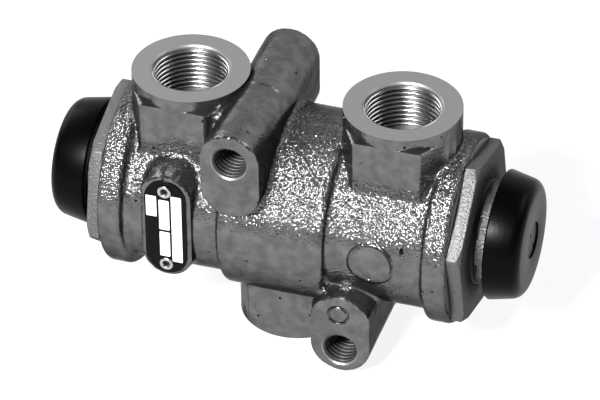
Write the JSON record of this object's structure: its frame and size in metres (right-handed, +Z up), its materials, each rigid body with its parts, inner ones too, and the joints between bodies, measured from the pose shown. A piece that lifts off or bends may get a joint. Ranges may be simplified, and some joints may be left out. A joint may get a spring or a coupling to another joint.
{
  "type": "multi-way valve",
  "caption": "Cast multi-way pneumatic valve: supply port below, delivery ports above, spring-loaded pistons with adjusting screws, lock nuts and rubber end caps.",
  "frame": {"origin": "centre of the supply port's mouth, which is the middle of the bottom of the part", "axes": "+X along the barrel towards the end whose delivery port stands free of the upper boss, +Y to the back, away from the rating plate, +Z up along the delivery ports"},
  "size_m": [0.1384, 0.056, 0.076],
  "materials": {
    "cast_housing": "sand cast, turned faces",
    "plate": "black with bare fields",
    "rivet": "satin",
    "piston": "turned",
    "seal_rubber": "smooth",
    "steel": "zinc plated",
    "spring_steel": "drawn wire",
    "zinc": "zinc plated",
    "cap_rubber": "moulded"
  },
  "bodies": {
    "housing": {"housing": "cast_housing", "rating_plate": "plate", "plate_rivets": "rivet", "left_lock_nut": "zinc", "right_lock_nut": "zinc"},
    "left_piston": {"left_piston": "piston", "left_piston_ring": "seal_rubber", "left_valve_disc": "seal_rubber", "left_disc_washer": "steel", "left_disc_screw": "steel"},
    "left_spring_seat": {"left_spring_seat": "steel", "left_spring": "spring_steel"},
    "left_adjuster": {"left_adjusting_screw": "zinc", "left_cap": "cap_rubber"},
    "right_piston": {"right_piston": "piston", "right_piston_ring": "seal_rubber", "right_valve_disc": "seal_rubber", "right_disc_washer": "steel", "right_disc_screw": "steel"},
    "right_spring_seat": {"right_spring_seat": "steel", "right_spring": "spring_steel"},
    "right_adjuster": {"right_adjusting_screw": "zinc", "right_cap": "cap_rubber"}
  },
  "joints": [
    {"name": "left_piston_slide", "type": "slide", "parent": "housing", "child": "left_piston", "axis": [-1, 0, 0], "range_m": [0, 0.0025], "stiffness_N_per_m": 9000, "springref_m": -0.006, "deforming": ["left_spring"]},
    {"name": "left_adjuster_advance", "type": "slide", "parent": "housing", "child": "left_spring_seat", "axis": [-1, 0, 0], "range_m": [-0.0015, 0.0015], "deforming": ["left_spring"]},
    {"name": "left_adjuster_turn", "type": "hinge", "parent": "left_spring_seat", "child": "left_adjuster", "pos_m": [-0.0555, 0, 0.038], "axis": [-1, 0, 0], "range_deg": [-360, 360]},
    {"name": "right_piston_slide", "type": "slide", "parent": "housing", "child": "right_piston", "axis": [1, 0, 0], "range_m": [0, 0.0025], "stiffness_N_per_m": 9000, "springref_m": -0.006, "deforming": ["right_spring"]},
    {"name": "right_adjuster_advance", "type": "slide", "parent": "housing", "child": "right_spring_seat", "axis": [1, 0, 0], "range_m": [-0.0015, 0.0015], "deforming": ["right_spring"]},
    {"name": "right_adjuster_turn", "type": "hinge", "parent": "right_spring_seat", "child": "right_adjuster", "pos_m": [0.0555, 0, 0.038], "axis": [1, 0, 0], "range_deg": [-360, 360]}
  ],
  "couplings": [
    {"joint": "left_adjuster_advance", "follows": "left_adjuster_turn", "m_per_rad": 0.00023873},
    {"joint": "right_adjuster_advance", "follows": "right_adjuster_turn", "m_per_rad": 0.00023873}
  ]
}
